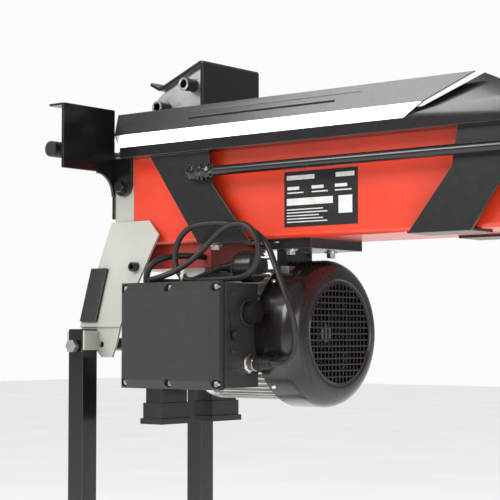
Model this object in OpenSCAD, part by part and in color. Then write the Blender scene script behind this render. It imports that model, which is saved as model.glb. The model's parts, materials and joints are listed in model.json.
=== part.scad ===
// Electric horizontal log splitter on a wheeled stand.
// +X runs along the beam from the ram end to the wedge, +Z is up and the floor is z = 0.
// Lengths are in millimetres.  The near side, with the control box and lever, is -Y.

/* [Beam and log table] */
// Height of the beam's top face above the floor
table_h = 795; // [760:1:900]
// Length of the box beam
beam_len = 843; // [820:1:1020]
// Width of the box beam
beam_w = 120; // [104:1:145]
// Height of the box beam
beam_h = 115; // [108:1:138]
// Wall of the box beam
beam_wall = 4; // [3:0.5:5]
// Thickness of the steel block that closes the ram end
head_t = 32; // [26:1:40]
// Thickness of the plate that closes the wedge end
end_plate_t = 10; // [6:1:14]

/* [Ram] */
// Travel of the pusher
stroke = 360; // [240:1:360]
// Bore of the hydraulic cylinder
cyl_bore = 50; // [40:1:54]
// Wall of the cylinder barrel
cyl_wall = 7; // [4:0.5:8]
// Diameter of the piston rod
rod_d = 30; // [24:1:34]
// Half width of the pusher's face
pusher_half = 55; // [48:1:58]
// Height of the pusher above the log table
pusher_h = 110; // [90:1:130]
// Sheet of the pusher's folded cover
pusher_sheet = 5; // [3:0.5:6]

/* [Wedge] */
// Longest log between pusher and wedge
log_len = 522; // [500:1:530]
// Length of the wedge
wedge_len = 127; // [100:1:140]
// Thickness of the wedge at its back
wedge_t = 36; // [28:1:50]
// Height of the wedge above the log table
wedge_h = 110; // [90:1:130]

/* [Stand] */
// Outside width of the square leg tube
leg_w = 25; // [22:1:30]
// Wall of the leg tube
leg_wall = 2; // [1.5:0.5:3]
// Distance from the middle plane to a leg's centre
leg_y = 112; // [108:1:124]
// Distance along the beam between the two pairs of legs
leg_span = 800; // [780:1:960]
// Sheet of the leg brackets
bracket_t = 3; // [2.5:0.5:4]

/* [Wheels] */
// Outside diameter of a wheel
wheel_d = 180; // [150:1:216]
// Width of a tyre
wheel_w = 38; // [30:1:46]
// Diameter of the axle
axle_d = 16; // [14:1:20]

/* [Motor and pump] */
// Distance from the beam's underside down to the motor's axis
motor_drop = 111; // [108:1:130]
// Radius over the motor's cooling fins
motor_r = 79; // [68:1:80]
// Outside radius of the fan cover
cover_r = 87; // [84:1:95]
// Length of the finned housing
motor_len = 112; // [104:1:116]
// Diameter of the motor shaft
shaft_d = 20; // [16:1:22]
// Radial running clearance of every shaft and pin
running = 0.05; // [0.03:0.01:0.08]

/* [Control box] */
// Length of the control box along the motor
box_len = 152; // [144:1:152]
// Height of the control box
box_h = 120; // [110:1:126]
// Depth of the control box
box_d = 76; // [70:1:84]
// Wall of the control box
box_wall = 3; // [2:0.5:4]
// Diameter of the start button
button_d = 24; // [20:1:26]
// Diameter of the mains lead
cord_d = 7; // [6:0.5:7]

/* [Hidden] */
$fn = 48;

// Heights.
beam_top = table_h;
beam_bot = table_h - beam_h;
motor_z = beam_bot - motor_drop;
ram_z = beam_bot + 55;

// Places along the beam, from the wheel-end legs at x = 0.
head_x = 5;
beam_x0 = head_x + head_t;
beam_x1 = beam_x0 + beam_len;
x_end = beam_x1 + end_plate_t;
handle_reach = 45;
handle_r = 11;
x_low = -wheel_d / 2;
x_high = x_end + handle_reach + handle_r;
mid_x = (x_low + x_high) / 2;

// Sideways places.
side = beam_w / 2;

// Ram, laid out from the head block.
piston_t = 25;
piston_gap = 30;
gland_t = 25;
rod_spare = 3;
piston_x = beam_x0 + piston_gap;
barrel_x1 = piston_x + piston_t + stroke + rod_spare + gland_t;
cross_x = barrel_x1 + 10;
cross_t = 30;
sled_z1 = beam_top - beam_wall - 9;
sled_t = 10;
sled_half = 22;
slot_half = 12.5;
neck_half = slot_half - 1.5;
pusher_x = beam_x0 + 106;
pusher_back = 60;
table_gap = 2;
pusher_plate = 8;
plate_t = 3;
bolt_spots = [
    [pusher_x - 16, beam_top + pusher_h - 29],
    [pusher_x - 60, beam_top + pusher_h - 54]];
pusher_bolt_r = 8;
cheek_y = pusher_half - 5;

// Log trays and the rods that brace them.
tray_y = side + 26;
tray_sheet = 3;
tray_x0 = beam_x0;
tray_cut = beam_x0 + 423;
tray_peak = beam_x0 + 517;
tray_x1 = beam_x0 + 633;
rod_r = 6;
rod_z = beam_top - 32;
tray_rod_x1 = beam_x0 + 640;

// Motor, laid out along X.
motor_x0 = 150;
motor_x1 = motor_x0 + motor_len;
flange_t = 14;
fin_h = 4;
bearing_r = 20;
bearing_t = 10;
stator_r = motor_r - 17;
rotor_r = stator_r - 22;
air_gap = 0.5;
fan_x = motor_x1 + 8;
cover_x0 = motor_x1 - 7;
cover_x1 = motor_x1 + 52;
cover_t = 2.5;
grille_r = 58;

// Pump, ahead of the motor flange.
pump_x1 = motor_x0 - flange_t + 2;
pump_t = 34;
pump_x0 = pump_x1 - pump_t;
pump_cover_t = 20;
pump_half = 40;
pump_low = motor_z - 54;
gear_teeth = 12;
gear_pitch_r = 18;
gear_t = 16;
sump_t = 30;
sump_x1 = beam_x0 + 120;
idler_z = motor_z + 2 * gear_pitch_r;
idler_r = 6;

// Feet of the pump stand.
pad_x = pump_x0 - 21;
pad_y = 48;
pad_low = motor_z - 111;

// Control box, against the motor's near side.
box_x1 = cover_x0 - 1;
box_x0 = box_x1 - box_len;
box_y1 = -motor_r;
box_y0 = box_y1 - box_d;
box_z0 = motor_z + 2 - box_h / 2 - 4;
box_z1 = box_z0 + box_h;
lid_t = 16;
bevel = 8;
lid_y = box_y0 + lid_t;
button_y = -cover_r - button_d / 2 - 4;
button_z = box_z1 - 34;
reset_y = button_y - 22;
reset_z = box_z1 - 60;
gland_y = -100;
gland_z = 535;
gland_x1 = 268;
boot_x1 = 290;

screw_x = [box_x0 + 6, (box_x0 + box_x1) / 2, box_x1 - 6];
screw_z = [box_z0 + 5, box_z1 - 5];

// Control lever on the head block.
pivot_x = -14;
pivot_z = beam_top - 62;
grip_x = -25;
grip_z = beam_top + 5;
pivot_r = 5;
arm_y = -16;
arm_t = 8;
grip_end = -147;
spool_rise = 22;
spool_r = 4;
guard_y0 = -152.6;
guard_t = 4;

// Stand.
wheel_r = wheel_d / 2;
axle_z = wheel_r;
wheel_gap = 3.5;
wheel_y0 = leg_y + leg_w / 2 + wheel_gap;
wheel_y1 = wheel_y0 + wheel_w;
leg_top = motor_z + 6;
rim_r = wheel_r - 28;
cap_t = 3;
cross_z = motor_z - 13;
cross_r = 8;
fold_z = motor_z + 8;
fold_y = leg_y - leg_w / 2 + bracket_t;

// The mains lead: straight out of the boot, up, one large loop, one small loop, then the plug.
CORD = [
    [290, -100, 535], [301, -100, 535], [315, -102, 538], [327, -106, 548], [333, -111, 563],
    [333, -115, 581], [326, -118, 608], [306, -112, 643], [284, -103, 672], [258, -99, 689],
    [217, -97, 698], [179, -98, 698], [162, -99, 693], [150, -101, 681], [146, -103, 664],
    [150, -105, 647], [162, -108, 636], [179, -110, 632], [214, -112, 632], [249, -112, 633],
    [264, -112, 637], [276, -112, 648], [280, -112, 664], [276, -112, 680], [264, -112, 692],
    [248, -112, 695], [231, -113, 691], [216, -115, 680], [202, -119, 666], [186, -125, 652],
    [168, -132, 641], [148, -135, 635], [133, -131, 633], [122, -120, 632], [118, -105, 632],
    [122, -90, 632], [133, -79, 632], [149, -75, 634], [172, -77, 640], [202, -84, 647]];
// The motor's own lead, from the control box to the side of the sump.
LEAD = [
    [108, -112, 627], [108, -112, 640], [112, -108, 652], [122, -98, 660], [134, -84, 663],
    [143, -70, 663], [146, -58, 663], [146, -50, 663]];
lead_d = 8;
plug_x = 202;
plug_y = -84;
plug_z = 647;
plug_r = 18.5;

// ---- helpers ----

module place() {
    translate([-mid_x, 0, 0]) children();
}

module both_sides() {
    children();
    mirror([0, 1, 0]) children();
}

module slab(x0, x1, y0, y1, z0, z1) {
    translate([x0, y0, z0]) cube([x1 - x0, y1 - y0, z1 - z0]);
}

module rod_x(x0, x1, r, y, z) {
    translate([x0, y, z]) rotate([0, 90, 0]) cylinder(h = x1 - x0, r = r);
}

module rod_y(y0, y1, r, x, z) {
    translate([x, y1, z]) rotate([90, 0, 0]) cylinder(h = y1 - y0, r = r);
}

// A drawing in X and Z, given depth from y0 to y1.
module along_y(y0, y1) {
    translate([0, y1, 0]) rotate([90, 0, 0]) linear_extrude(y1 - y0) children();
}

// A drawing in Y and Z, given depth from x0 to x1.
module along_x(x0, x1) {
    translate([x0, 0, 0]) rotate([90, 0, 90]) linear_extrude(x1 - x0) children();
}

module round_box(x0, x1, y0, y1, r) {
    translate([x0 + r, y0]) square([x1 - x0 - 2 * r, y1 - y0]);
    translate([x0, y0 + r]) square([x1 - x0, y1 - y0 - 2 * r]);
    for (x = [x0 + r, x1 - r])
        for (y = [y0 + r, y1 - r])
            translate([x, y]) circle(r = r);
}

module hex_bolt_y(x, y, z, out, r) {
    head = r * 1.3;
    rod_y(min(y, y - out), max(y, y - out), r, x, z);
    translate([x, y - out, z]) rotate([90, 0, 0]) cylinder(h = head, r = r * 1.7, $fn = 6);
}

// A smooth curve through the points: Catmull-Rom, two steps to a segment.
function at(p, i) = p[max(0, min(len(p) - 1, i))];
function blend(p, i, u) =
    let (a = at(p, i - 1), b = at(p, i), c = at(p, i + 1), d = at(p, i + 2))
    0.5 * (2 * b + (c - a) * u + (2 * a - 5 * b + 4 * c - d) * u * u
        + (3 * b - a - 3 * c + d) * u * u * u);
function smooth(p) = concat(
    [for (i = [0 : len(p) - 2]) for (u = [0, 0.5]) blend(p, i, u)], [p[len(p) - 1]]);
function unit(v) = v / norm(v);
function tangents(p) = [for (i = [0 : len(p) - 1]) unit(at(p, i + 1) - at(p, i - 1))];
function square_to(n, t) = unit(n - (n * t) * t);
function normals(t) = [
    for (i = 0, n = square_to([0, 0.3, 1], t[0]); i < len(t);
        i = i + 1, n = i < len(t) ? square_to(n, t[i]) : n) n];

module cable(points, d, sides) {
    p = smooth(points);
    t = tangents(p);
    n = normals(t);
    rings = [for (i = [0 : len(p) - 1])
        let (m = square_to(n[i], t[i]), b = cross(t[i], m))
        for (k = [0 : sides - 1])
            p[i] + d / 2 * (cos(360 * k / sides) * m + sin(360 * k / sides) * b)];
    walls = [for (i = [0 : len(p) - 2]) for (k = [0 : sides - 1])
        let (a = i * sides + k, b = i * sides + (k + 1) % sides)
        [a, a + sides, b + sides, b]];
    first = [for (k = [0 : sides - 1]) k];
    last = [for (k = [sides - 1 : -1 : 0]) (len(p) - 1) * sides + k];
    polyhedron(points = rings, faces = concat(walls, [first, last]), convexity = 10);
}

// ---- beam, cylinder and ram ----

module main_beam() {
    corner = 6;
    color("orangered") place() difference() {
        along_x(beam_x0, beam_x1) difference() {
            round_box(-side, side, beam_bot, beam_top, corner);
            round_box(-side + beam_wall, side - beam_wall,
                beam_bot + beam_wall, beam_top - beam_wall, corner - 3);
        }
        slab(beam_x0 + 15, beam_x1 - 8, -slot_half, slot_half,
            beam_top - 2 * beam_wall, beam_top + 1);
    }
}

module head_block() {
    port_r = 6;
    color("silver") place() difference() {
        slab(head_x, beam_x0, -side, side, beam_bot - sump_t, beam_top);
        rod_x(head_x - 1, beam_x0 - 4, spool_r + running, arm_y, pivot_z + spool_rise);
        rod_x(beam_x0 - 8, beam_x0 + 1, port_r, 0, ram_z);
    }
}

module beam_end_plate() {
    color("dimgray") place() slab(beam_x1, x_end, -side, side, beam_bot, beam_top);
}

module cylinder_barrel() {
    color("slategray") place() difference() {
        rod_x(beam_x0, barrel_x1, cyl_bore / 2 + cyl_wall, 0, ram_z);
        rod_x(beam_x0 - 1, barrel_x1 + 1, cyl_bore / 2, 0, ram_z);
    }
}

module cylinder_gland() {
    color("darkgoldenrod") place() difference() {
        rod_x(barrel_x1 - gland_t, barrel_x1, cyl_bore / 2, 0, ram_z);
        rod_x(barrel_x1 - gland_t - 1, barrel_x1 + 1, rod_d / 2 + running, 0, ram_z);
    }
}

module piston() {
    groove = 2;
    color("gray") place() difference() {
        rod_x(piston_x, piston_x + piston_t, cyl_bore / 2 - running, 0, ram_z);
        difference() {
            rod_x(piston_x + 10, piston_x + 15, cyl_bore / 2 + 1, 0, ram_z);
            rod_x(piston_x + 9, piston_x + 16, cyl_bore / 2 - groove, 0, ram_z);
        }
    }
}

module piston_rod() {
    color("whitesmoke") place()
        rod_x(piston_x + piston_t, cross_x, rod_d / 2, 0, ram_z);
}

module ram_sled() {
    color("dimgray") place() {
        slab(pusher_x - pusher_back - 20, cross_x + cross_t,
            -sled_half, sled_half, sled_z1 - sled_t, sled_z1);
        slab(cross_x, cross_x + cross_t, -sled_half, sled_half, ram_z - 20, sled_z1);
        slab(pusher_x - pusher_back, pusher_x - 10, -neck_half, neck_half,
            sled_z1, beam_top + table_gap);
    }
}

module pusher_frame() {
    low = beam_top + table_gap;
    top = beam_top + pusher_h;
    color("silver") place() {
        slab(pusher_x - 86, pusher_x, -cheek_y + plate_t, cheek_y - plate_t,
            low, low + pusher_plate);
        both_sides() difference() {
            along_y(-cheek_y, -cheek_y + plate_t) polygon([
                [pusher_x - 86, low], [pusher_x, low], [pusher_x, top - 5.4],
                [pusher_x - 61, top - 30.6], [pusher_x - 74, top - 40],
                [pusher_x - 83, top - 56], [pusher_x - 86, top - 74]]);
            for (s = bolt_spots)
                rod_y(-cheek_y - 1, -cheek_y + plate_t + 1, pusher_bolt_r, s[0], s[1]);
        }
    }
}

module pusher_cover() {
    low = beam_top + table_gap;
    top = beam_top + pusher_h;
    s = pusher_sheet;
    color("black") place() along_y(-pusher_half, pusher_half) polygon([
        [pusher_x, low], [pusher_x + s, low], [pusher_x + s, top - 3], [pusher_x + s - 2, top],
        [pusher_x - 1, top], [pusher_x - 62, top - 25], [pusher_x - 68, top - 26],
        [pusher_x - 82, top - 19], [pusher_x - 84, top - 23], [pusher_x - 69, top - 31],
        [pusher_x - 61, top - 30.6], [pusher_x, top - 5.4]]);
}

module pusher_bolts() {
    reach = pusher_half + 13;
    socket_r = 5;
    color("dimgray") place() for (s = bolt_spots) difference() {
        rod_y(-reach, reach, pusher_bolt_r, s[0], s[1]);
        both_sides() rod_y(-reach - 1, -reach + 8, socket_r, s[0], s[1]);
    }
}

// ---- log trays, wedge and handle ----

module tray_wing() {
    groove_t = 1.2;
    t = tray_sheet;
    lip = 7;
    fold = 21;
    rise = 48;
    difference() {
        intersection() {
            along_x(tray_x0, tray_peak + 10) polygon([
                [-side - 1, beam_top - 6], [-tray_y, beam_top - 6], [-tray_y, beam_top + lip],
                [-tray_y - 10, beam_top + fold], [-tray_y - 3, beam_top + rise],
                [-tray_y, beam_top + rise], [-tray_y - 10 + t, beam_top + fold],
                [-tray_y + t, beam_top + lip - 1], [-tray_y + t, beam_top - 6 + t],
                [-side - 1, beam_top - 6 + t]]);
            along_y(-tray_y - 20, 0) polygon([
                [tray_x0, beam_top - 8], [tray_cut, beam_top - 8], [tray_cut, beam_top + lip],
                [tray_peak, beam_top + rise + 1], [tray_x0, beam_top + rise + 1]]);
        }
        for (g = [[41, 118, 371], [33, 120, 337]])
            slab(beam_x0 + g[1], beam_x0 + g[2], -tray_y - 12, -tray_y - 5.8 + groove_t,
                beam_top + g[0] - 1.2, beam_top + g[0] + 1.2);
    }
    intersection() {
        along_x(tray_cut, tray_x1) polygon([
            [-side - 1, beam_top - 6], [-tray_y, beam_top - 6], [-tray_y, beam_top + 15],
            [-tray_y + 14, beam_top + rise + 2], [-tray_y + 17, beam_top + rise + 2],
            [-tray_y + t, beam_top + 15], [-tray_y + t, beam_top - 6 + t],
            [-side - 1, beam_top - 6 + t]]);
        along_y(-tray_y - 20, 0) polygon([
            [tray_cut, beam_top - 8], [tray_x1, beam_top - 8], [tray_x1, beam_top + 10],
            [tray_peak + 60, beam_top + 22], [tray_peak, beam_top + rise],
            [tray_cut, beam_top + lip]]);
    }
}

module log_trays() {
    color("black") place() both_sides() tray_wing();
}

module tray_bracket(flip) {
    out = side + 15;
    top = beam_top - 6;
    lean = flip ? -1 : 1;
    base_x = flip ? tray_x1 - 52 : beam_x0 + 42;
    along_y(-out - tray_sheet / 2, -out + tray_sheet / 2) polygon([
        [base_x, top], [base_x + lean * 96, top], [base_x + lean * 103, rod_z - 16],
        [base_x + lean * 160, beam_bot - tray_sheet], [base_x + lean * 80, beam_bot - tray_sheet]]);
    slab(min(base_x + lean * 80, base_x + lean * 160), max(base_x + lean * 80, base_x + lean * 160),
        -out - tray_sheet / 2, -side + 30, beam_bot - tray_sheet, beam_bot);
}

module tray_brackets() {
    color("dimgray") place() both_sides() {
        tray_bracket(false);
        tray_bracket(true);
    }
}

module tray_rods() {
    color("black") place() both_sides()
        rod_x(beam_x0 + 118, tray_rod_x1, rod_r, -side - 16.5 - rod_r, rod_z);
}

module wedge() {
    tip = pusher_x + pusher_sheet + log_len;
    back = tip + wedge_len;
    post_t = 12;
    color("dimgray") place() {
        translate([0, 0, beam_top]) linear_extrude(wedge_h) polygon([
            [tip, 0], [tip + 30, -wedge_t / 4], [back, -wedge_t / 2],
            [back, wedge_t / 2], [tip + 30, wedge_t / 4]]);
        along_x(back, back + post_t)
            round_box(-side + 12, side - 12, beam_top, beam_top + wedge_h, 8);
        both_sides() along_y(-side + 22, -side + 30) polygon([
            [back + post_t, beam_top], [beam_x1, beam_top],
            [back + post_t, beam_top + wedge_h * 0.7]]);
    }
}

module carry_handle() {
    grip_y = side - 12;
    z = beam_top - 30;
    color("black") place() {
        both_sides() {
            rod_x(x_end, x_end + handle_reach, handle_r, -grip_y, z);
            translate([x_end + handle_reach, -grip_y, z]) sphere(r = handle_r);
        }
        rod_y(-grip_y, grip_y, handle_r, x_end + handle_reach, z);
    }
}

// ---- stand ----

module leg_tube(x, z0, z1) {
    half = leg_w / 2;
    translate([x, -leg_y, z0]) linear_extrude(z1 - z0) difference() {
        square([leg_w, leg_w], center = true);
        square([leg_w - 2 * leg_wall, leg_w - 2 * leg_wall], center = true);
    }
}

module wheel_legs() {
    color("black") place() both_sides() difference() {
        leg_tube(0, axle_z - 20, leg_top);
        rod_y(-leg_y - leg_w, -leg_y + leg_w, axle_d / 2, 0, axle_z);
    }
}

module wedge_legs() {
    color("black") place() both_sides() leg_tube(leg_span, cap_t, leg_top);
}

// One bracket, drawn at the wheel end: an upright part beside the leg and a leaning part up to
// the beam's side.
module leg_bracket() {
    inner = -leg_y + leg_w / 2;
    tilt = atan2(fold_y - side - bracket_t, beam_bot + 30 - fold_z);
    reach = norm([fold_y - side - bracket_t, beam_bot + 30 - fold_z]);
    along_y(inner, inner + bracket_t) polygon([
        [-leg_w / 2 - bracket_t, fold_z + 2], [52, fold_z + 2], [46, fold_z - 20],
        [38, fold_z - 37], [20, fold_z - 37], [-leg_w / 2 - bracket_t, fold_z - 4]]);
    for (x = [-leg_w / 2 - bracket_t, leg_w / 2])
        slab(x, x + bracket_t, inner - leg_w, inner, fold_z - 28, fold_z - 4);
    translate([0, -fold_y + bracket_t, fold_z]) rotate([-tilt, 0, 0])
        along_y(-bracket_t, 0) polygon([
            [-leg_w / 2 - bracket_t, 0], [54, 0], [69, reach * 0.42], [87, reach * 0.86],
            [66, reach], [1, reach]]);
}

module bracket_pair() {
    leg_bracket();
    translate([leg_span, 0, 0]) mirror([1, 0, 0]) leg_bracket();
}

module leg_brackets() {
    color("darkgray") place() both_sides() difference() {
        bracket_pair();
        for (x = [20, leg_span - 20])
            rod_y(-leg_y, 0, 4, x, cross_z);
    }
}

module leg_strap() {
    tilt = atan2(fold_y - side - bracket_t, beam_bot + 30 - fold_z);
    translate([0, -fold_y + bracket_t, fold_z]) rotate([-tilt, 0, 0])
        along_y(-bracket_t - 4, -bracket_t) polygon([
            [-14, 6], [14, 6], [14, 76], [-14, 76]]);
}

module leg_straps() {
    color("dimgray") place() both_sides() {
        leg_strap();
        translate([leg_span, 0, 0]) leg_strap();
    }
}

module frame_bolts() {
    out_y = -leg_y - leg_w / 2;
    color("gainsboro") place() both_sides() for (x = [0, leg_span])
        hex_bolt_y(x, out_y, cross_z - 2, 3, 5);
}

module cross_tubes() {
    inner = leg_y - leg_w / 2 - bracket_t;
    color("black") place() for (x = [20, leg_span - 20])
        rod_y(-inner, inner, cross_r, x, cross_z);
}

module foot_caps() {
    rim = 3;
    color("black") place() both_sides() difference() {
        slab(leg_span - leg_w / 2 - rim, leg_span + leg_w / 2 + rim,
            -leg_y - leg_w / 2 - rim, -leg_y + leg_w / 2 + rim, 0, 35);
        slab(leg_span - leg_w / 2, leg_span + leg_w / 2,
            -leg_y - leg_w / 2, -leg_y + leg_w / 2, cap_t, 36);
    }
}

module wheel_axle() {
    color("silver") place() {
        rod_y(-wheel_y1 - 1, wheel_y1 + 1, axle_d / 2, 0, axle_z);
        both_sides() rod_y(-wheel_y1 - 5, -wheel_y1 - 1, axle_d * 0.8, 0, axle_z);
    }
}

module tyre() {
    translate([0, -wheel_y0, axle_z]) rotate([90, 0, 0]) rotate_extrude($fn = 96) union() {
        translate([rim_r, 0]) square([12, wheel_w]);
        translate([rim_r + 2, 0]) round_box(0, wheel_r - rim_r - 2, 0, wheel_w, 9);
    }
}

module rim() {
    hub_r = 18;
    web = 8;
    spokes = 6;
    difference() {
        union() {
            rod_y(-wheel_y1, -wheel_y0, hub_r, 0, axle_z);
            rod_y(-(wheel_y0 + wheel_y1) / 2 - web / 2, -(wheel_y0 + wheel_y1) / 2 + web / 2,
                rim_r, 0, axle_z);
            difference() {
                rod_y(-wheel_y1, -wheel_y0, rim_r, 0, axle_z);
                rod_y(-wheel_y1 - 1, -wheel_y0 + 1, rim_r - 5, 0, axle_z);
            }
        }
        rod_y(-wheel_y1 - 1, -wheel_y0 + 1, axle_d / 2 + running, 0, axle_z);
        for (k = [0 : spokes - 1])
            translate([0, 0, axle_z]) rotate([0, 360 * (k + 0.5) / spokes, 0])
                rod_y(-wheel_y1 - 1, -wheel_y0 + 1, 9, (rim_r + hub_r) / 2, 0);
    }
}

module tyre_near() {
    color("black") place() tyre();
}

module rim_near() {
    color("darkgray") place() rim();
}

module tyre_far() {
    color("black") place() mirror([0, 1, 0]) tyre();
}

module rim_far() {
    color("darkgray") place() mirror([0, 1, 0]) rim();
}

// ---- motor ----

module motor_housing() {
    fins = 60;
    fin_t = 2.2;
    lug_w = 12;
    color("lightgray") place() difference() {
        union() {
            along_x(motor_x0, motor_x1) translate([0, motor_z]) union() {
                circle(r = motor_r - fin_h, $fn = 120);
                for (k = [0 : fins - 1])
                    rotate(360 * k / fins) translate([motor_r - fin_h - 1, -fin_t / 2])
                        square([fin_h + 1, fin_t]);
            }
            // Four lugs that carry the fan cover.
            along_x(cover_x0, motor_x1) translate([0, motor_z]) intersection() {
                circle(r = cover_r - cover_t, $fn = 120);
                union() for (k = [0 : 3])
                    rotate(45 + 90 * k) translate([motor_r - fin_h - 2, -lug_w / 2])
                        square([cover_r, lug_w]);
            }
        }
        rod_x(motor_x0 - 1, motor_x1 - 12, stator_r + 8, 0, motor_z);
        rod_x(motor_x1 - 13, motor_x1 + 1, bearing_r, 0, motor_z);
    }
}

module motor_flange() {
    color("lightgray") place() difference() {
        rod_x(motor_x0 - flange_t + 2, motor_x0, motor_r, 0, motor_z);
        rod_x(motor_x0 - flange_t, motor_x0 + 1, bearing_r, 0, motor_z);
    }
}

module stator() {
    color("chocolate") place() difference() {
        rod_x(motor_x0 + 15, motor_x1 - 14, stator_r + 8, 0, motor_z);
        rod_x(motor_x0 + 14, motor_x1 - 13, rotor_r + air_gap, 0, motor_z);
    }
}

module rotor() {
    color("gray") place() difference() {
        rod_x(motor_x0 + 17, motor_x1 - 16, rotor_r, 0, motor_z);
        rod_x(motor_x0 + 16, motor_x1 - 15, shaft_d / 2, 0, motor_z);
    }
}

module motor_shaft() {
    color("silver") place() rod_x(pump_x0 - 8, fan_x + 24, shaft_d / 2, 0, motor_z);
}

module bearings() {
    color("silver") place() for (x = [motor_x0 - bearing_t - 1, motor_x1 - bearing_t - 1])
        difference() {
            rod_x(x, x + bearing_t, bearing_r, 0, motor_z);
            rod_x(x - 1, x + bearing_t + 1, shaft_d / 2 + running, 0, motor_z);
        }
}

module fan() {
    blades = 7;
    hub_r = 16;
    tip_r = cover_r - 17;
    color("black") place() difference() {
        union() {
            rod_x(fan_x, fan_x + 20, hub_r, 0, motor_z);
            rod_x(fan_x, fan_x + 2.5, tip_r, 0, motor_z);
            for (k = [0 : blades - 1])
                translate([0, 0, motor_z]) rotate([360 * k / blades, 0, 0])
                    slab(fan_x, fan_x + 20, hub_r - 2, tip_r, -1.25, 1.25);
        }
        rod_x(fan_x - 1, fan_x + 21, shaft_d / 2, 0, motor_z);
    }
}

module fan_cover() {
    round = 24;
    bar = 2;
    pitch = 12;
    depth = cover_x1 - cover_x0;
    color("black") place() {
        translate([cover_x0, 0, motor_z]) rotate([0, 90, 0]) rotate_extrude($fn = 120) difference() {
            union() {
                square([cover_r, depth - round]);
                square([cover_r - round, depth]);
                translate([cover_r - round, depth - round]) circle(r = round);
            }
            translate([-1, -1]) square([cover_r - cover_t + 1, depth - round + 1]);
            translate([-1, -1]) square([cover_r - round + 1, depth - cover_t + 1]);
            translate([cover_r - round, depth - round]) circle(r = round - cover_t);
            translate([-1, 0]) square([grille_r + 1, depth + 1]);
            translate([-round, -round]) square([round, depth + 2 * round]);
        }
        along_x(cover_x1 - cover_t, cover_x1) translate([0, motor_z]) {
            intersection() {
                circle(r = grille_r + 0.5, $fn = 96);
                union() for (k = [-4 : 4]) {
                    translate([k * pitch - bar / 2, -grille_r - 1]) square([bar, 2 * grille_r + 2]);
                    translate([-grille_r - 1, k * pitch - bar / 2]) square([2 * grille_r + 2, bar]);
                }
            }
        }
    }
}

module motor_hanger() {
    x0 = motor_x1 - 22;
    plate = 12;
    color("black") place() {
        slab(x0, x0 + 70, -side + 8, side - 8, beam_bot - plate, beam_bot);
        difference() {
            slab(x0, x0 + 14, -26, 26, motor_z + motor_r - fin_h - 8, beam_bot - plate);
            rod_x(x0 - 1, x0 + 15, motor_r, 0, motor_z);
        }
    }
}

// ---- pump ----

module pump_body() {
    chamber = 20;
    r = gear_pitch_r + 3;
    color("silver") place() difference() {
        slab(pump_x0, pump_x1, -pump_half, pump_half, pump_low, beam_bot - sump_t);
        rod_x(pump_x0 - 1, pump_x0 + chamber, r, 0, motor_z);
        rod_x(pump_x0 - 1, pump_x0 + chamber, r, 0, idler_z);
        rod_x(pump_x0 - 1, pump_x1 + 1, shaft_d / 2 + 1, 0, motor_z);
        rod_x(pump_x0 - 1, pump_x0 + chamber + 8, idler_r + running, 0, idler_z);
    }
}

module pump_cover() {
    color("silver") place() difference() {
        slab(pump_x0 - pump_cover_t, pump_x0, -pump_half, pump_half,
            pump_low, motor_z + 68);
        rod_x(pump_x0 - 10, pump_x0 + 1, shaft_d / 2 + 0.5, 0, motor_z);
        rod_x(pump_x0 - 10, pump_x0 + 1, idler_r + running, 0, idler_z);
    }
}

module gear_outline(turn) {
    root = gear_pitch_r - 3.8;
    tip = gear_pitch_r + 2.6;
    rotate(turn) {
        circle(r = root);
        for (k = [0 : gear_teeth - 1])
            rotate(360 * k / gear_teeth) polygon([
                for (q = [[root - 1, -9.5], [gear_pitch_r, -6.6], [tip, -3.4],
                        [tip, 3.4], [gear_pitch_r, 6.6], [root - 1, 9.5]])
                    [q[0] * cos(q[1]), q[0] * sin(q[1])]]);
    }
}

module drive_gear() {
    color("silver") place() translate([0, 0, motor_z]) difference() {
        along_x(pump_x0 + 2, pump_x0 + 2 + gear_t) gear_outline(0);
        rod_x(pump_x0 + 1, pump_x0 + 3 + gear_t, shaft_d / 2, 0, 0);
    }
}

module driven_gear() {
    color("silver") place() translate([0, 0, idler_z]) {
        along_x(pump_x0 + 2, pump_x0 + 2 + gear_t) gear_outline(180 / gear_teeth);
        rod_x(pump_x0 - 8, pump_x0 + 27, idler_r, 0, 0);
    }
}

module oil_sump() {
    color("firebrick") place()
        slab(beam_x0, sump_x1, -side + 10, side - 10, beam_bot - sump_t, beam_bot);
}

module pump_stand() {
    half_x = 13;
    half_y = 24;
    color("dimgray") place() {
        slab(pad_x - half_x, pump_x1, -pad_y - half_y, pad_y + half_y, pump_low - 5, pump_low);
        both_sides() difference() {
            slab(pad_x - half_x, pad_x + half_x, -pad_y - half_y, -pad_y + half_y,
                pad_low + 4, pump_low - 5);
            slab(pad_x - half_x + 3, pad_x + half_x - 3, -pad_y - half_y + 3,
                -pad_y + half_y - 3, pad_low + 3, pump_low - 8);
        }
    }
}

module foot_pads() {
    rim = 5;
    wall = 2.5;
    color("black") place() both_sides() difference() {
        union() {
            slab(pad_x - 13 - wall, pad_x + 13 + wall, -pad_y - 24 - wall, -pad_y + 24 + wall,
                pad_low, pad_low + 26);
            slab(pad_x - 13 - rim, pad_x + 13 + rim, -pad_y - 24 - rim, -pad_y + 24 + rim,
                pad_low, pad_low + 7);
        }
        slab(pad_x - 13, pad_x + 13, -pad_y - 24, -pad_y + 24, pad_low + 4, pad_low + 27);
    }
}

// ---- control lever ----

module control_lever() {
    hub_r = 10;
    bar_r = 6;
    color("dimgray") place() {
        difference() {
            union() {
                rod_y(arm_y - arm_t / 2, arm_y + arm_t / 2, hub_r, pivot_x, pivot_z);
                along_y(arm_y - arm_t / 2, arm_y + arm_t / 2) polygon([
                    [pivot_x - 6, pivot_z], [pivot_x + 5, pivot_z],
                    [grip_x + 5, grip_z], [grip_x - 5, grip_z]]);
                rod_y(arm_y - arm_t / 2, arm_y + arm_t / 2, bar_r + 2, grip_x, grip_z);
            }
            rod_y(arm_y - arm_t, arm_y + arm_t, pivot_r + running, pivot_x, pivot_z);
        }
        rod_y(-90, arm_y - arm_t / 2, bar_r, grip_x, grip_z);
    }
}

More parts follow.
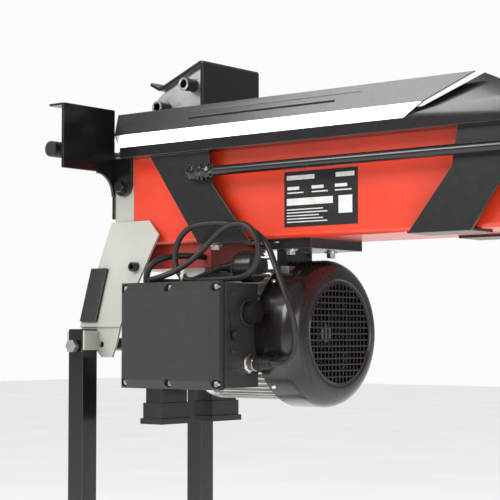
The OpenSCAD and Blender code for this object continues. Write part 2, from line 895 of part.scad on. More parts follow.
module lever_grip() {
    color("black") place() rod_y(grip_end, -90, 10, grip_x, grip_z);
}

module lever_bracket() {
    ear_t = 5;
    gap = 1;
    color("dimgray") place() {
        for (y = [arm_y - arm_t / 2 - gap - ear_t, arm_y + arm_t / 2 + gap])
            along_y(y, y + ear_t) union() {
                translate([pivot_x, pivot_z]) circle(r = 9);
                translate([pivot_x, pivot_z - 9]) square([head_x - pivot_x, 18]);
            }
        rod_y(arm_y - arm_t / 2 - gap - ear_t - 2, arm_y + arm_t / 2 + gap + ear_t + 2,
            pivot_r, pivot_x, pivot_z);
    }
}

module valve_spool() {
    color("silver") place()
        rod_x(head_x - 13, head_x + 20, spool_r, arm_y, pivot_z + spool_rise);
}

module lever_guard() {
    r = 30;
    low = beam_top - 21;
    high = beam_top + 60;
    inner = -side - 2;
    tail = beam_top - 80;
    flange = 22;
    color("black") place() {
        along_x(head_x - guard_t, head_x) difference() {
            union() {
                translate([guard_y0, low]) square([inner - guard_y0, high - low]);
                translate([inner - r, low - r]) square([r, r]);
                translate([inner, tail]) square([32, beam_top - 2 - tail]);
                translate([inner, tail]) square([1, low - tail]);
            }
            translate([inner - r, low - r]) circle(r = r - 2);
        }
        slab(head_x - guard_t - flange, head_x - guard_t, guard_y0, inner, high - 3, high);
    }
}

// ---- control box ----

module box_base() {
    w = box_wall;
    bezel = 3;
    color("dimgray") place() {
        difference() {
            slab(box_x0, box_x1, lid_y, box_y1, box_z0, box_z1);
            slab(box_x0 + w, box_x1 - w, lid_y - 1, box_y1 - w, box_z0 + w, box_z1 - w);
            rod_x(box_x1 - w - 1, box_x1 + 1, button_d / 4 + running, button_y, button_z);
            rod_x(box_x1 - w - 1, box_x1 + 1, 3 + running, reset_y, reset_z);
            rod_x(box_x1 - w - 1, box_x1 + 1, cord_d / 2 + 2, gland_y, gland_z);
        }
        difference() {
            rod_x(box_x1, box_x1 + 6, button_d / 2 + 0.5 + bezel, button_y, button_z);
            rod_x(box_x1 - 1, box_x1 + 7, button_d / 2 + 0.5, button_y, button_z);
        }
    }
}

module box_lid() {
    w = box_wall;
    color("dimgray") place() difference() {
        hull() {
            slab(box_x0 - 2, box_x1 - 2, lid_y - bevel, lid_y, box_z0 - 2, box_z1 + 2);
            slab(box_x0 + bevel, box_x1 - bevel - 4, box_y0, lid_y, box_z0 + bevel, box_z1 - bevel);
        }
        slab(box_x0 + 12, box_x1 - 14, box_y0 + w, lid_y + 1, box_z0 + 12, box_z1 - 12);
        for (x = screw_x)
            for (z = screw_z)
                rod_y(box_y0 - 1, lid_y - 5, 5, x, z);
    }
}

module lid_screws() {
    color("silver") place() for (x = screw_x) for (z = screw_z) difference() {
        rod_y(lid_y - 9, lid_y - 5, 3.5, x, z);
        rod_y(lid_y - 10, lid_y - 7, 1.6, x, z);
    }
}

module start_button() {
    travel = 5;
    color("black") place() {
        rod_x(box_x1 + travel, box_x1 + travel + 12, button_d / 2, button_y, button_z);
        rod_x(box_x1 - 12, box_x1 + travel, button_d / 4, button_y, button_z);
    }
}

module reset_button() {
    color("black") place() {
        rod_x(box_x1 + 3, box_x1 + 9, 6, reset_y, reset_z);
        rod_x(box_x1 - 12, box_x1 + 3, 3, reset_y, reset_z);
    }
}

module cable_gland() {
    color("silver") place() difference() {
        union() {
            translate([box_x1, gland_y, gland_z]) rotate([0, 90, 0])
                cylinder(h = 5, r = 12, $fn = 6);
            rod_x(box_x1 + 5, gland_x1, 9, gland_y, gland_z);
        }
        rod_x(box_x1 - 1, gland_x1 + 1, cord_d / 2 + 2, gland_y, gland_z);
    }
}

module cord_boot() {
    color("black") place() difference() {
        translate([gland_x1, gland_y, gland_z]) rotate([0, 90, 0])
            cylinder(h = boot_x1 - gland_x1, r1 = 8.5, r2 = 5.5);
        rod_x(gland_x1 - 1, boot_x1 - 2, cord_d / 2 - 1, gland_y, gland_z);
    }
}

module run_capacitor() {
    r = 20;
    color("black") place() rod_x(box_x0 + 30, box_x0 + 115, r,
        box_y1 - box_wall - r, box_z0 + box_wall + r);
}

module motor_lead() {
    color("black") place() cable(LEAD, lead_d, 8);
}

module mains_cord() {
    color("black") place() cable(CORD, cord_d, 8);
}

module mains_plug() {
    boot = 23;
    body = 34;
    pin_gap = 9.5;
    color("black") place() {
        translate([plug_x, plug_y, plug_z]) rotate([0, 90, 0])
            cylinder(h = boot, r1 = cord_d / 2 + 0.5, r2 = 9);
        rod_x(plug_x + boot, plug_x + boot + body, plug_r, plug_y, plug_z);
        for (s = [-1, 1])
            rod_x(plug_x + boot + body, plug_x + boot + body + 19, 2.4,
                plug_y, plug_z + s * pin_gap);
    }
}

main_beam();
head_block();
beam_end_plate();
cylinder_barrel();
cylinder_gland();
piston();
piston_rod();
ram_sled();
pusher_frame();
pusher_cover();
pusher_bolts();
log_trays();
tray_brackets();
tray_rods();
wedge();
carry_handle();
wheel_legs();
wedge_legs();
leg_brackets();
leg_straps();
frame_bolts();
cross_tubes();
foot_caps();
wheel_axle();
tyre_near();
rim_near();
tyre_far();
rim_far();
motor_housing();
motor_flange();
stator();
rotor();
motor_shaft();
bearings();
fan();
fan_cover();
motor_hanger();
pump_body();
pump_cover();
drive_gear();
driven_gear();
oil_sump();
pump_stand();
foot_pads();
control_lever();
lever_grip();
lever_bracket();
valve_spool();
lever_guard();
box_base();
box_lid();
lid_screws();
start_button();
reset_button();
cable_gland();
cord_boot();
run_capacitor();
motor_lead();
mains_cord();
mains_plug();
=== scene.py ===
"""Looks of the electric log splitter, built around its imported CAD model.

Lengths are in metres in the row frame: +X along the beam to the wedge, -Y the near side, +Z up.
"""
import json
import math
import random

import bmesh
import bpy
from mathutils import Matrix, Vector


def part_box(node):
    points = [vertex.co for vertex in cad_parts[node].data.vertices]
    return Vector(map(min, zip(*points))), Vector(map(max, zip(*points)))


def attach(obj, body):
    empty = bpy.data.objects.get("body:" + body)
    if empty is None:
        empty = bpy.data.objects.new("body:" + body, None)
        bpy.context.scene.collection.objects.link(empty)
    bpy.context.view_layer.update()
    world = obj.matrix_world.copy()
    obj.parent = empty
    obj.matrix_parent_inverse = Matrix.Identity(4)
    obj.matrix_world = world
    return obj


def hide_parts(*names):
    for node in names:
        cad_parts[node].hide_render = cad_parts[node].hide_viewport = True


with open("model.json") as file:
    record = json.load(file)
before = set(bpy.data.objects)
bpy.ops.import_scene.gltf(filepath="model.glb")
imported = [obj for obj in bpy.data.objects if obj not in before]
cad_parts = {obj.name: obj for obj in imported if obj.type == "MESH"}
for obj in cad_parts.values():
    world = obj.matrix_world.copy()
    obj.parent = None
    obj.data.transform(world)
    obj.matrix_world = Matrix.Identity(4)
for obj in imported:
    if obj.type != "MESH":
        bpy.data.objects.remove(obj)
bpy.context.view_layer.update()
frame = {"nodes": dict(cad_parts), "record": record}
NODES = frame["nodes"]
random.seed(7)

# ---- places taken from the frame ----


def middle(node):
    lo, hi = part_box(node)
    return (Vector(lo) + Vector(hi)) / 2


def low(node):
    return Vector(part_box(node)[0])


def high(node):
    return Vector(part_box(node)[1])


LEG_X = middle("wheel_axle").x
MOTOR_Z = middle("fan_cover").z
BEAM_LOW, BEAM_HIGH = low("main_beam"), high("main_beam")
BOX_LOW, BOX_HIGH = low("box_base"), high("box_base")
COVER_LOW, COVER_HIGH = low("fan_cover"), high("fan_cover")



def add_object(name, data):
    obj = bpy.data.objects.new(name, data)
    bpy.context.scene.collection.objects.link(obj)
    return obj


# ---- camera, at the photograph's angle ----

AZIMUTH = math.radians(39.0)
PITCH = math.radians(3.24)
EYE = Vector((LEG_X + 1.3724, -1.4756, MOTOR_Z - 0.004))
LENS_MM, SENSOR_MM = 110.8, 36
FAR_CLIP = 50

camera_data = bpy.data.cameras.new("camera")
camera_data.lens = LENS_MM
camera_data.sensor_width = SENSOR_MM
camera_data.clip_end = FAR_CLIP
camera = add_object("camera", camera_data)
camera.location = EYE
camera.rotation_euler = (math.pi / 2 + PITCH, 0, AZIMUTH)
bpy.context.scene.camera = camera

# ---- materials ----

NOISE_LOW, NOISE_HIGH = 0.3, 0.7    # the part of a noise's range that the looks use
BUMP_STRENGTH = 0.6
COAT_ROUGH = 0.12

# noise scales: the larger, the finer the detail
CLOUDS, GLOSS_PATCHES, ORANGE_PEEL, WEAR_PATCHES = 14, 120, 700, 55
TARNISH = 22
DUST, SHEEN_PATCHES = 90, 160

WEAR_RADIUS, WEAR_SAMPLES = 0.0011, 4
FLAT_FACE, SHARP_EDGE = 0.99, 0.80    # how far the rounded normal agrees with the true one
WEAR_MOST = 0.8
MIX_FACTOR, MIX_FROM, MIX_TO, MIX_RESULT = 0, 6, 7, 2    # a Mix node's colour sockets


def new_material(name, color, rough, metallic=0.0):
    mat = bpy.data.materials.new(name)
    mat.use_nodes = True
    shader = mat.node_tree.nodes["Principled BSDF"]
    shader.inputs["Base Color"].default_value = (*color, 1)
    shader.inputs["Roughness"].default_value = rough
    shader.inputs["Metallic"].default_value = metallic
    return mat, shader


def noise_of(mat, scale, detail=4.0, stretch=None):
    """A noise texture in object space. stretch squeezes it along X, Y or Z, for brushed marks."""
    tree = mat.node_tree
    coord = tree.nodes.new("ShaderNodeTexCoord")
    noise = tree.nodes.new("ShaderNodeTexNoise")
    noise.inputs["Scale"].default_value = scale
    noise.inputs["Detail"].default_value = detail
    if stretch:
        mapping = tree.nodes.new("ShaderNodeMapping")
        mapping.inputs["Scale"].default_value = stretch
        tree.links.new(coord.outputs["Object"], mapping.inputs["Vector"])
        tree.links.new(mapping.outputs["Vector"], noise.inputs["Vector"])
    else:
        tree.links.new(coord.outputs["Object"], noise.inputs["Vector"])
    return noise


def vary_color(mat, shader, noise, dark, light):
    ramp = mat.node_tree.nodes.new("ShaderNodeValToRGB")
    ramp.color_ramp.elements[0].position = NOISE_LOW
    ramp.color_ramp.elements[1].position = NOISE_HIGH
    ramp.color_ramp.elements[0].color = (*dark, 1)
    ramp.color_ramp.elements[1].color = (*light, 1)
    mat.node_tree.links.new(noise.outputs["Fac"], ramp.inputs["Fac"])
    mat.node_tree.links.new(ramp.outputs["Color"], shader.inputs["Base Color"])
    return ramp


def vary_rough(mat, shader, noise, least, most):
    spread = mat.node_tree.nodes.new("ShaderNodeMapRange")
    spread.inputs["From Min"].default_value = NOISE_LOW
    spread.inputs["From Max"].default_value = NOISE_HIGH
    spread.inputs["To Min"].default_value = least
    spread.inputs["To Max"].default_value = most
    mat.node_tree.links.new(noise.outputs["Fac"], spread.inputs["Value"])
    mat.node_tree.links.new(spread.outputs["Result"], shader.inputs["Roughness"])


def add_bump(mat, shader, noise, height):
    bump = mat.node_tree.nodes.new("ShaderNodeBump")
    bump.inputs["Strength"].default_value = BUMP_STRENGTH
    bump.inputs["Distance"].default_value = height
    mat.node_tree.links.new(noise.outputs["Fac"], bump.inputs["Height"])
    mat.node_tree.links.new(bump.outputs["Normal"], shader.inputs["Normal"])


def wear_edges(mat, shader, ramp, bare):
    """Paint rubbed thin within WEAR_RADIUS of a sharp edge, broken up by noise."""
    tree = mat.node_tree
    geometry = tree.nodes.new("ShaderNodeNewGeometry")
    rounded = tree.nodes.new("ShaderNodeBevel")
    rounded.samples = WEAR_SAMPLES
    rounded.inputs["Radius"].default_value = WEAR_RADIUS
    agree = tree.nodes.new("ShaderNodeVectorMath")
    agree.operation = "DOT_PRODUCT"
    edge = tree.nodes.new("ShaderNodeMapRange")
    edge.inputs["From Min"].default_value = FLAT_FACE
    edge.inputs["From Max"].default_value = SHARP_EDGE
    edge.inputs["To Max"].default_value = WEAR_MOST
    patchy = tree.nodes.new("ShaderNodeMath")
    patchy.operation = "MULTIPLY"
    mix = tree.nodes.new("ShaderNodeMix")
    mix.data_type = "RGBA"
    mix.inputs[MIX_TO].default_value = (*bare, 1)
    tree.links.new(geometry.outputs["Normal"], agree.inputs[0])
    tree.links.new(rounded.outputs["Normal"], agree.inputs[1])
    tree.links.new(agree.outputs["Value"], edge.inputs["Value"])
    tree.links.new(edge.outputs["Result"], patchy.inputs[0])
    tree.links.new(noise_of(mat, WEAR_PATCHES, 5).outputs["Fac"], patchy.inputs[1])
    tree.links.new(patchy.outputs["Value"], mix.inputs[MIX_FACTOR])
    tree.links.new(ramp.outputs["Color"], mix.inputs[MIX_FROM])
    tree.links.new(mix.outputs[MIX_RESULT], shader.inputs["Base Color"])


def scaled(color, factor):
    return tuple(min(1.0, c * factor) for c in color)


def paint(name, color, rough, coat=0.3, peel=0.00006, worn=None):
    """Powder coat: faint orange peel, uneven gloss and slightly uneven colour."""
    mat, shader = new_material(name, color, rough)
    shader.inputs["Coat Weight"].default_value = coat
    shader.inputs["Coat Roughness"].default_value = COAT_ROUGH
    cloud = noise_of(mat, CLOUDS, 6)
    ramp = vary_color(mat, shader, cloud, scaled(color, 0.90), scaled(color, 1.08))
    vary_rough(mat, shader, noise_of(mat, GLOSS_PATCHES, 5), rough * 0.92, rough * 1.10)
    add_bump(mat, shader, noise_of(mat, ORANGE_PEEL, 2), peel)
    if worn:
        wear_edges(mat, shader, ramp, worn)
    return mat


def metal(name, color, rough, stretch=None, scale=60, bump=0.00003):
    """Bare metal: a grain that stretch turns into brush marks, and slightly uneven colour."""
    mat, shader = new_material(name, color, rough, 1.0)
    grain = noise_of(mat, scale, 6, stretch)
    vary_color(mat, shader, noise_of(mat, TARNISH, 5), scaled(color, 0.8), scaled(color, 1.1))
    vary_rough(mat, shader, grain, rough * 0.75, rough * 1.3)
    add_bump(mat, shader, grain, bump)
    return mat


def moulded(name, color, rough, grain_height=0.00008, grain_scale=1400):
    """Plastic or rubber with a moulded grain and a little dust in the colour."""
    mat, shader = new_material(name, color, rough)
    vary_color(mat, shader, noise_of(mat, DUST, 6), scaled(color, 0.88), scaled(color, 1.14))
    vary_rough(mat, shader, noise_of(mat, SHEEN_PATCHES, 4), rough * 0.95, rough * 1.05)
    add_bump(mat, shader, noise_of(mat, grain_scale, 3), grain_height)
    return mat


BARE = (0.30, 0.30, 0.29)
MATERIALS = {
    "red_paint": paint("red_paint", (0.68, 0.045, 0.015), 0.30, 0.35, worn=(0.50, 0.10, 0.06)),
    # dark_red_paint is red_paint darkened: painted shade for the red parts that sit in the shadow under
    # the beam
    "dark_red_paint": paint("dark_red_paint", (0.30, 0.020, 0.010), 0.38, 0.25),
    "black_paint": paint("black_paint", (0.005, 0.005, 0.005), 0.24, 0.25, worn=BARE),
    "satin_black_paint": paint("satin_black_paint", (0.007, 0.0065, 0.006), 0.34, 0.12, worn=BARE),
    "grey_paint": paint("grey_paint", (0.40, 0.40, 0.355), 0.36, 0.2, worn=(0.45, 0.45, 0.43)),
    "bare_steel": metal("bare_steel", (0.56, 0.56, 0.54), 0.34, (1, 12, 12)),
    "zinc": metal("zinc", (0.74, 0.74, 0.71), 0.26),
    "rod_chrome": metal("rod_chrome", (0.82, 0.82, 0.82), 0.09, (1, 30, 30)),
    "aluminium": metal("aluminium", (0.66, 0.66, 0.63), 0.38, None, 420, 0.00012),
    "bronze": metal("bronze", (0.62, 0.42, 0.20), 0.30, (30, 1, 1)),
    "winding": paint("winding", (0.30, 0.12, 0.05), 0.40),
    "cover_paint": paint("cover_paint", (0.010, 0.007, 0.006), 0.26, 0.3),
    "box_plastic": moulded("box_plastic", (0.022, 0.022, 0.020), 0.48, 0.00010),
    "black_plastic": moulded("black_plastic", (0.014, 0.014, 0.014), 0.42),
    "gloss_black_plastic": moulded("gloss_black_plastic", (0.012, 0.012, 0.012), 0.22, 0.00002),
    "rubber": moulded("rubber", (0.012, 0.012, 0.011), 0.48, 0.00005, 900),
    "tyre": moulded("tyre", (0.016, 0.016, 0.016), 0.72, 0.00012, 500),
    "rim_plastic": moulded("rim_plastic", (0.16, 0.16, 0.16), 0.45),
}
PLATE_DARK = moulded("plate_dark", (0.012, 0.012, 0.013), 0.30, 0.00001)
PLATE_PALE = moulded("plate_pale", (0.62, 0.62, 0.60), 0.40, 0.00001)
TIE_PALE = moulded("tie_pale", (0.62, 0.60, 0.55), 0.42, 0.00002)

# ---- CAD nodes: materials, and small edge rounds on the pressed and machined ones ----

NO_ROUNDS = {"fan_cover", "motor_housing", "mains_cord", "motor_lead", "mains_plug", "cord_boot"}
EDGE_ROUND, ROUND_SEGMENTS = 0.0007, 2
NODE_EDGE, PIECE_EDGE = math.radians(28), math.radians(40)    # edges bent further are rounded
FOLD = math.radians(32)    # edges bent further are shaded sharp
WELD_GAP = 0.00002


def sharp_by_angle():
    """Geometry nodes that keep folds crisp: an edge bent past FOLD is shaded sharp."""
    tree = bpy.data.node_groups.new("sharp_by_angle", "GeometryNodeTree")
    tree.interface.new_socket("Geometry", in_out="INPUT", socket_type="NodeSocketGeometry")
    tree.interface.new_socket("Geometry", in_out="OUTPUT", socket_type="NodeSocketGeometry")
    start = tree.nodes.new("NodeGroupInput")
    end = tree.nodes.new("NodeGroupOutput")
    bend = tree.nodes.new("GeometryNodeInputMeshEdgeAngle")
    past = tree.nodes.new("FunctionNodeCompare")
    past.operation = "GREATER_THAN"
    past.inputs["B"].default_value = FOLD
    shade = tree.nodes.new("GeometryNodeSetShadeSmooth")
    shade.domain = "EDGE"
    shade.inputs["Shade Smooth"].default_value = False
    tree.links.new(bend.outputs["Unsigned Angle"], past.inputs["A"])
    tree.links.new(past.outputs["Result"], shade.inputs["Selection"])
    tree.links.new(start.outputs[0], shade.inputs["Geometry"])
    tree.links.new(shade.outputs["Geometry"], end.inputs[0])
    return tree


SHARP = sharp_by_angle()


def keep_folds(obj):
    obj.modifiers.new("sharp", "NODES").node_group = SHARP


def round_edges(obj, width, least_bend):
    bevel = obj.modifiers.new("edge_round", "BEVEL")
    bevel.width = width
    bevel.segments = ROUND_SEGMENTS
    bevel.limit_method = "ANGLE"
    bevel.angle_limit = least_bend


def soften(obj):
    """Joins the imported faces, rounds sharp edges a little and smooths the shading between."""
    obj.data.polygons.foreach_set("use_smooth", [True] * len(obj.data.polygons))
    if "custom_normal" in obj.data.attributes:
        obj.data.attributes.remove(obj.data.attributes["custom_normal"])
    weld = obj.modifiers.new("weld", "WELD")
    weld.merge_threshold = WELD_GAP
    if obj.name not in NO_ROUNDS:
        round_edges(obj, EDGE_ROUND, NODE_EDGE)
    keep_folds(obj)
    normals = obj.modifiers.new("normals", "WEIGHTED_NORMAL")
    normals.keep_sharp = True


for row in frame["record"]["subparts"]:
    node = NODES[row["node"]]
    node.data.materials.clear()
    node.data.materials.append(MATERIALS[row["material_slot"]])
    soften(node)

# ---- mesh helpers ----

AXES = {"x": Matrix(((0, 0, 1), (1, 0, 0), (0, 1, 0))).to_4x4(),
        "y": Matrix(((1, 0, 0), (0, 0, 1), (0, -1, 0))).to_4x4(),
        "z": Matrix.Identity(4)}
TINY = 1e-6


def lathe(bm, profile, place, axis="z", sides=48, closed=False, flip=False):
    """Turns (along, radius) pairs about an axis through place. flip points it the other way."""
    turn = AXES[axis] @ (Matrix.Rotation(math.pi, 4, "X") if flip else Matrix.Identity(4))
    rings = []
    for along, radius in profile:
        count = 1 if radius < TINY else sides
        rings.append([bm.verts.new(Vector(place) + turn @ Vector((
            radius * math.cos(2 * math.pi * k / sides),
            radius * math.sin(2 * math.pi * k / sides), along))) for k in range(count)])
    pairs = list(zip(rings, rings[1:]))
    if closed:
        pairs.append((rings[-1], rings[0]))
    for a, b in pairs:
        for k in range(sides):
            n = (k + 1) % sides
            corners = [a[k % len(a)], a[n % len(a)], b[n % len(b)], b[k % len(b)]]
            corners = [v for i, v in enumerate(corners) if v not in corners[:i]]
            if len(corners) > 2:
                bm.faces.new(corners)


def block(bm, lo, hi):
    verts = [bm.verts.new((x, y, z)) for x in (lo[0], hi[0]) for y in (lo[1], hi[1])
             for z in (lo[2], hi[2])]
    for f in ((0, 1, 3, 2), (4, 6, 7, 5), (0, 4, 5, 1), (2, 3, 7, 6), (0, 2, 6, 4), (1, 5, 7, 3)):
        bm.faces.new([verts[i] for i in f])


def sheet_of(bm, outline, thick, to_point):
    """A flat plate: outline is 2-D, to_point(a, b, depth) puts each corner in space."""
    front = [bm.verts.new(to_point(a, b, 0)) for a, b in outline]
    back = [bm.verts.new(to_point(a, b, thick)) for a, b in outline]
    bm.faces.new(front)
    bm.faces.new(list(reversed(back)))
    for i in range(len(outline)):
        j = (i + 1) % len(outline)
        bm.faces.new([front[j], front[i], back[i], back[j]])


def piece(bm, name, material, body, bevel=0.0, smooth=True):
    """Turns a finished bmesh into a piece that rides on body, with its edges rounded by bevel."""
    bmesh.ops.recalc_face_normals(bm, faces=bm.faces)
    mesh = bpy.data.meshes.new(name)
    bm.to_mesh(mesh)
    bm.free()
    mesh.polygons.foreach_set("use_smooth", [smooth] * len(mesh.polygons))
    obj = add_object(name, mesh)
    mesh.materials.append(material)
    if bevel:
        round_edges(obj, bevel, PIECE_EDGE)
    if smooth:
        keep_folds(obj)
        obj.modifiers.new("normals", "WEIGHTED_NORMAL").keep_sharp = True
    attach(obj, body)
    return obj


def tube(name, points, radius, material, body):
    """A round curve through points, as a piece that rides on body."""
    data = bpy.data.curves.new(name, "CURVE")
    data.dimensions = "3D"
    data.bevel_depth = radius
    data.bevel_resolution = 5
    data.use_fill_caps = True
    spline = data.splines.new("POLY")
    spline.points.add(len(points) - 1)
    for target, p in zip(spline.points, points):
        target.co = (*p, 1)
    obj = add_object(name, data)
    data.materials.append(material)
    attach(obj, body)
    return obj


def smooth_route(points, steps):
    """The same Catmull-Rom curve as the CAD tube's, in finer steps."""
    found = []
    last = len(points) - 1
    for i in range(last):
        a, b, c, d = (points[max(0, min(last, k))] for k in (i - 1, i, i + 1, i + 2))
        for k in range(steps):
            u = k / steps
            found.append(0.5 * (2 * b + (c - a) * u + (2 * a - 5 * b + 4 * c - d) * u ** 2
                                + (3 * b - a - 3 * c + d) * u ** 3))
    return found + [points[last]]


# ---- mains lead, its boot, plug and tie ----

CORD_D = 0.007
MOTOR_LEAD_R = 0.004
ROUTE_STEPS = 8

# the routes of part.scad, from the wheel-end leg, the middle plane and the floor
CORD_POINTS = [
    (.290, -.100, .535), (.301, -.100, .535), (.315, -.102, .538), (.327, -.106, .548),
    (.333, -.111, .563), (.333, -.115, .581), (.326, -.118, .608), (.306, -.112, .643),
    (.284, -.103, .672), (.258, -.099, .689), (.217, -.097, .698), (.179, -.098, .698),
    (.162, -.099, .693), (.150, -.101, .681), (.146, -.103, .664), (.150, -.105, .647),
    (.162, -.108, .636), (.179, -.110, .632), (.214, -.112, .632), (.249, -.112, .633),
    (.264, -.112, .637), (.276, -.112, .648), (.280, -.112, .664), (.276, -.112, .680),
    (.264, -.112, .692), (.248, -.112, .695), (.231, -.113, .691), (.216, -.115, .680),
    (.202, -.119, .666), (.186, -.125, .652), (.168, -.132, .641), (.148, -.135, .635),
    (.133, -.131, .633), (.122, -.120, .632), (.118, -.105, .632), (.122, -.090, .632),
    (.133, -.079, .632), (.149, -.075, .634), (.172, -.077, .640), (.202, -.084, .647)]
LEAD_POINTS = [
    (.108, -.112, .627), (.108, -.112, .640), (.112, -.108, .652), (.122, -.098, .660),
    (.134, -.084, .663), (.143, -.070, .663), (.146, -.058, .663), (.146, -.050, .663)]


def route(points):
    return smooth_route([Vector((x + LEG_X, y, z)) for x, y, z in points], ROUTE_STEPS)


cord_line = route(CORD_POINTS)
lead = tube("mains_lead", cord_line, CORD_D / 2, MATERIALS["rubber"], "frame")
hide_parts("mains_cord")

link = tube("motor_cable", route(LEAD_POINTS), MOTOR_LEAD_R, MATERIALS["rubber"], "frame")
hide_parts("motor_lead")

NECK_R, NECK_RIBS, NECK_START, NECK_PITCH = 0.0042, 4, 0.002, 0.005
NECK_RIB_R, NECK_FLARE, NECK_GROOVE = 0.0046, 0.0011, 0.0009
NECK_RIB_END, NECK_GROOVE_START, NECK_GROOVE_END = 0.0028, 0.0030, 0.0046
# (along, radius) pairs for the lathe: the plug past its ribbed neck, and one pin
PLUG_SHELL = [(0.0225, 0.0095), (0.0260, 0.0150), (0.0300, 0.0172), (0.0340, 0.0172),
              (0.0350, 0.0185), (0.0550, 0.0185), (0.0566, 0.0176), (0.0570, 0.0160),
              (0.0570, 0.0)]
PIN = [(0.0565, 0.0), (0.0565, 0.0024), (0.0740, 0.0024), (0.0755, 0.0016), (0.0760, 0.0)]
PIN_OFF_AXIS = 0.0095


def plug_profile():
    profile = [(0.0, 0.0), (0.0, NECK_R)]
    for k in range(NECK_RIBS):
        start = NECK_START + k * NECK_PITCH
        r = NECK_RIB_R + k * NECK_FLARE
        profile += [(start, r), (start + NECK_RIB_END, r),
                    (start + NECK_GROOVE_START, r - NECK_GROOVE),
                    (start + NECK_GROOVE_END, r - NECK_GROOVE)]
    return profile + PLUG_SHELL


plug_place = Vector((low("mains_plug").x, middle("mains_plug").y, middle("mains_plug").z))
bm = bmesh.new()
lathe(bm, plug_profile(), plug_place, "x", sides=40)
plug = piece(bm, "plug_body", MATERIALS["gloss_black_plastic"], "frame")
bm = bmesh.new()
for side in (-1, 1):
    lathe(bm, PIN, plug_place + Vector((0, 0, side * PIN_OFF_AXIS)), "x", sides=20)
pins = piece(bm, "plug_pins", MATERIALS["zinc"], "frame")
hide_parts("mains_plug")

TIE_IN, TIE_OUT, TIE_HALF = 0.0037, 0.0048, 0.002
TIE_HEAD_HALF, TIE_HEAD_LOW, TIE_HEAD_HIGH = 0.003, 0.0040, 0.0085
tie_at = Vector((LEG_X + 0.164, -0.108, 0.636))
bm = bmesh.new()
lathe(bm, [(-TIE_HALF, TIE_IN), (-TIE_HALF, TIE_OUT), (TIE_HALF, TIE_OUT), (TIE_HALF, TIE_IN)],
      tie_at, "x", sides=24, closed=True)
block(bm, tie_at + Vector((-TIE_HEAD_HALF, -TIE_HEAD_HALF, TIE_HEAD_LOW)),
      tie_at + Vector((TIE_HEAD_HALF, TIE_HEAD_HALF, TIE_HEAD_HIGH)))
tie = piece(bm, "cord_tie", TIE_PALE, "frame", bevel=0.0003)

BOOT_WIDE, BOOT_SLIM, BOOT_RIBS = 0.0085, 0.0055, 5
BOOT_BORE = CORD_D / 2 + 0.0001
BOOT_GROOVE, BOOT_LIP = 0.0011, 0.0009
BOOT_RIB_END, BOOT_GROOVE_START, BOOT_GROOVE_END = 0.55, 0.65, 0.95    # shares of one rib's step


def boot_profile(length):
    profile = [(0.0, BOOT_BORE)]
    step = length / BOOT_RIBS
    for k in range(BOOT_RIBS):
        start = length * k / BOOT_RIBS
        r = BOOT_WIDE + (BOOT_SLIM - BOOT_WIDE) * k / BOOT_RIBS
        profile += [(start, r), (start + step * BOOT_RIB_END, r),
                    (start + step * BOOT_GROOVE_START, r - BOOT_GROOVE),
                    (start + step * BOOT_GROOVE_END, r - BOOT_GROOVE)]
    return profile + [(length, BOOT_SLIM - BOOT_LIP), (length, BOOT_BORE)]


gland_mid = middle("cable_gland")
boot_place = Vector((low("cord_boot").x, gland_mid.y, gland_mid.z))
bm = bmesh.new()
lathe(bm, boot_profile(high("cord_boot").x - boot_place.x), boot_place, "x", sides=32, closed=True)
boot = piece(bm, "gland_boot", MATERIALS["rubber"], "frame")
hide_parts("cord_boot")

# ---- fan cover: turned shell with a stepped ring and a square grille ----

COVER_R = (COVER_HIGH.z - COVER_LOW.z) / 2
COVER_LEN = COVER_HIGH.x - COVER_LOW.x
GRILLE_R = 0.058
EDGE_R, EDGE_STEPS = 0.022, 12
SHEET = 0.0022
# the stepped ring, as (back from the front face, out from the grille)
RING_STEPS = [(0.0, 0.006), (0.0012, 0.0045), (0.0012, 0.002), (0.0002, 0.001), (0.0002, 0.0)]


def cover_edge(k, r):
    """Point k of the cover's round front edge, at radius r about the middle of that round."""
    a = math.pi / 2 * k / EDGE_STEPS
    return COVER_LEN - EDGE_R + r * math.sin(a), COVER_R - EDGE_R + r * math.cos(a)


outer = [(0.0, COVER_R), (COVER_LEN - EDGE_R, COVER_R)]
outer += [cover_edge(k, EDGE_R) for k in range(1, EDGE_STEPS + 1)]
outer += [(COVER_LEN - back, GRILLE_R + out) for back, out in RING_STEPS]
inner = [(COVER_LEN - SHEET, GRILLE_R)]
inner += [cover_edge(k, EDGE_R - SHEET) for k in range(EDGE_STEPS, 0, -1)]
inner += [(COVER_LEN - EDGE_R, COVER_R - SHEET), (0.0, COVER_R - SHEET)]
bm = bmesh.new()
lathe(bm, outer + inner, Vector((COVER_LOW.x, 0, MOTOR_Z)), "x", sides=128, closed=True)
cover = piece(bm, "cover_shell", MATERIALS["cover_paint"], "frame")

GRILLE_BARS, GRILLE_PITCH, GRILLE_BAR = 8, 0.0072, 0.0017
GRILLE_CLEAR = 0.002     # no bar is nearer to the rim than this
GRILLE_LAP = 0.0006      # how far the bars run into the rim
LEVEL_DEPTH = 0.0018
UPRIGHT_BACK, UPRIGHT_FRONT = 0.0022, 0.0003
grille_x = COVER_HIGH.x - 0.0006
bm = bmesh.new()
for k in range(-GRILLE_BARS, GRILLE_BARS + 1):
    offset = k * GRILLE_PITCH
    if abs(offset) < GRILLE_R - GRILLE_CLEAR:
        half = math.sqrt((GRILLE_R + GRILLE_LAP) ** 2 - offset ** 2)
        block(bm, (grille_x - LEVEL_DEPTH, -half, MOTOR_Z + offset - GRILLE_BAR / 2),
              (grille_x, half, MOTOR_Z + offset + GRILLE_BAR / 2))
        block(bm, (grille_x - UPRIGHT_BACK, offset - GRILLE_BAR / 2, MOTOR_Z - half),
              (grille_x - UPRIGHT_FRONT, offset + GRILLE_BAR / 2, MOTOR_Z + half))
piece(bm, "cover_grille", MATERIALS["cover_paint"], "frame", bevel=0.0003)
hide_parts("fan_cover")

# ---- grip and tyres ----

